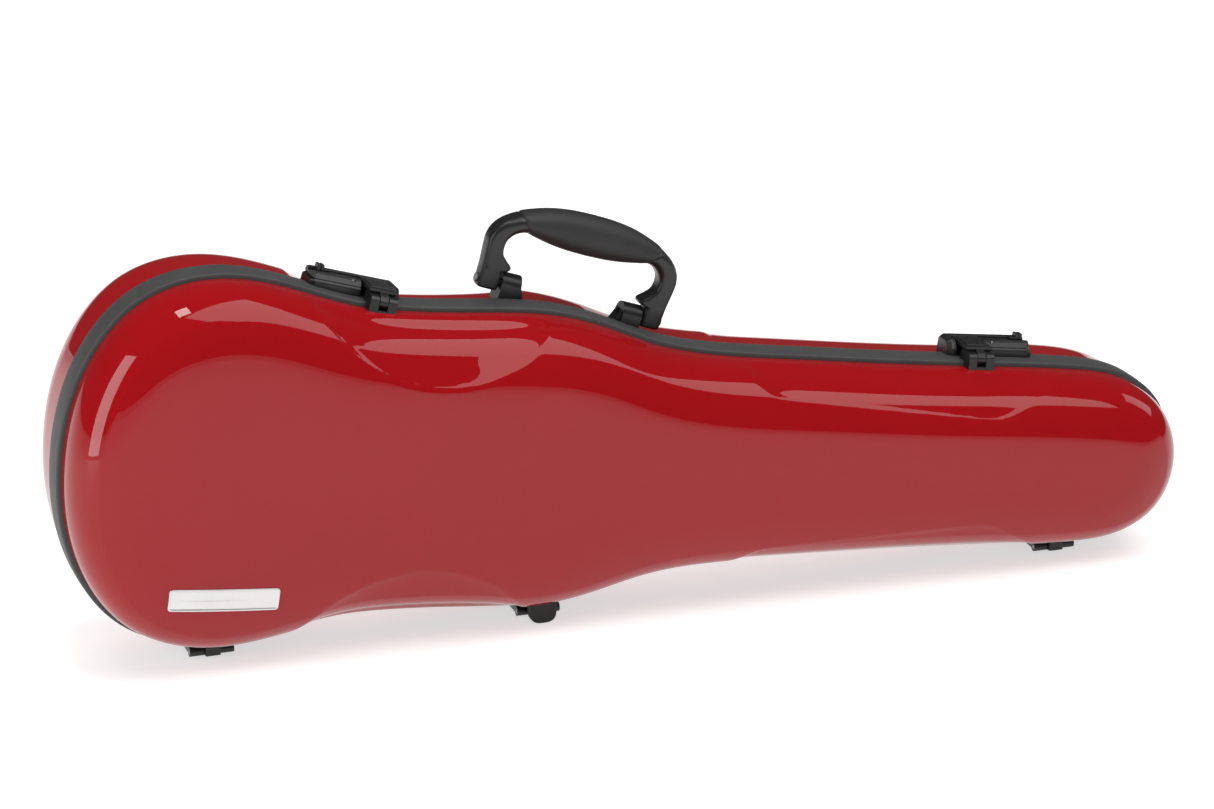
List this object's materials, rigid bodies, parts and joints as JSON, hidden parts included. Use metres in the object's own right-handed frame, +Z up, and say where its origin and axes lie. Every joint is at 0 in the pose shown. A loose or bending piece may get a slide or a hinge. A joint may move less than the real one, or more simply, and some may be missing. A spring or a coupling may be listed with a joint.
{
  "type": "violin case",
  "caption": "Shaped hard case for a violin with a hinged lid, a folding carrying handle and sliding catches, standing on hinge-side feet.",
  "frame": {"origin": "on the floor under the middle of the bounding box, with the case standing on its hinge-side feet", "axes": "+X along the case from the lower-bout end to the neck end, +Y from the lid to the back of the base, +Z up"},
  "size_m": [0.793, 0.1492, 0.2767],
  "materials": {
    "shell_lacquer": "deep red clear-coated composite shell",
    "rim_plastic": "matte black extruded rim profile",
    "hardware_plastic": "satin black moulded hardware with fine grain",
    "grip_rubber": "soft black overmoulded grip",
    "rubber_pad": "black rubber",
    "plate_metal": "satin silver name plate left blank",
    "steel_hardware": "dark plated steel pins, springs and screws",
    "lining_fabric": "dark plush lining over foam",
    "strap_fabric": "black woven strap"
  },
  "bodies": {
    "base": {"base_lining": "lining_fabric", "base_shell": "shell_lacquer", "foot_left": "rubber_pad", "foot_right": "rubber_pad", "handle_backing_plates": "steel_hardware", "handle_pin_left": "steel_hardware", "handle_pin_right": "steel_hardware", "handle_post_left": "hardware_plastic", "handle_post_right": "hardware_plastic", "handle_screws": "steel_hardware", "hinge_base_leaf_left": "hardware_plastic", "hinge_base_leaf_middle": "hardware_plastic", "hinge_base_leaf_right": "hardware_plastic", "hinge_pin_left": "steel_hardware", "hinge_pin_middle": "steel_hardware", "hinge_pin_right": "steel_hardware", "hinge_rivets_base": "steel_hardware", "latch_cover_left": "hardware_plastic", "latch_cover_right": "hardware_plastic", "latch_housing_left": "hardware_plastic", "latch_housing_right": "hardware_plastic", "latch_screws_left": "steel_hardware", "latch_screws_right": "steel_hardware", "latch_spring_left": "steel_hardware", "latch_spring_right": "steel_hardware", "neck_cradle": "lining_fabric", "neck_strap": "strap_fabric", "rim_seal": "rubber_pad", "rim_valance": "rim_plastic", "suspension_pad_lower": "lining_fabric", "suspension_pad_upper": "lining_fabric"},
    "lid": {"bow_clip_base_lower": "hardware_plastic", "bow_clip_base_upper": "hardware_plastic", "bow_rest": "lining_fabric", "bow_tip_sleeve": "lining_fabric", "foot_middle": "rubber_pad", "hinge_lid_leaf_left": "hardware_plastic", "hinge_lid_leaf_middle": "hardware_plastic", "hinge_lid_leaf_right": "hardware_plastic", "hinge_rivets_lid": "steel_hardware", "latch_bracket_left": "hardware_plastic", "latch_bracket_right": "hardware_plastic", "latch_pin_left": "steel_hardware", "latch_pin_right": "steel_hardware", "lid_lining": "lining_fabric", "lid_shell": "shell_lacquer", "name_plate": "plate_metal"},
    "handle": {"handle_frame": "hardware_plastic", "handle_grip": "grip_rubber"},
    "hasp_left": {"latch_hasp_left": "hardware_plastic"},
    "slider_left": {"latch_slider_left": "hardware_plastic"},
    "hasp_right": {"latch_hasp_right": "hardware_plastic"},
    "slider_right": {"latch_slider_right": "hardware_plastic"},
    "bow_clip_upper": {"bow_turn_clip_upper": "hardware_plastic"},
    "bow_clip_lower": {"bow_turn_clip_lower": "hardware_plastic"}
  },
  "joints": [
    {"name": "lid_hinge", "type": "hinge", "parent": "base", "child": "lid", "pos_m": [0, -0.0259, 0.0055], "axis": [1, 0, 0], "range_deg": [0, 100]},
    {"name": "handle_fold", "type": "hinge", "parent": "base", "child": "handle", "pos_m": [-0.03814, 0.0046, 0.21244], "axis": [0.9446, 0, -0.3282], "range_deg": [-65, 70]},
    {"name": "hasp_left_hinge", "type": "hinge", "parent": "lid", "child": "hasp_left", "pos_m": [-0.17739, -0.0309, 0.23482], "axis": [0.9574, 0, -0.2889], "range_deg": [0, 110]},
    {"name": "slider_left_travel", "type": "slide", "parent": "base", "child": "slider_left", "axis": [0.9574, 0, -0.2889], "range_m": [0, 0.006], "stiffness_N_per_m": 80, "deforming": ["latch_spring_left"]},
    {"name": "hasp_right_hinge", "type": "hinge", "parent": "lid", "child": "hasp_right", "pos_m": [0.2484, -0.0309, 0.15063], "axis": [0.9918, 0, -0.1277], "range_deg": [0, 110]},
    {"name": "slider_right_travel", "type": "slide", "parent": "base", "child": "slider_right", "axis": [-0.9918, 0, 0.1277], "range_m": [0, 0.006], "stiffness_N_per_m": 80, "deforming": ["latch_spring_right"]},
    {"name": "bow_clip_upper_turn", "type": "hinge", "parent": "lid", "child": "bow_clip_upper", "pos_m": [-0.3121, -0.0557, 0.179], "axis": [0, 1, 0], "range_deg": [0, 90]},
    {"name": "bow_clip_lower_turn", "type": "hinge", "parent": "lid", "child": "bow_clip_lower", "pos_m": [-0.3204, -0.0557, 0.09943], "axis": [0, 1, 0], "range_deg": [0, 90]}
  ]
}
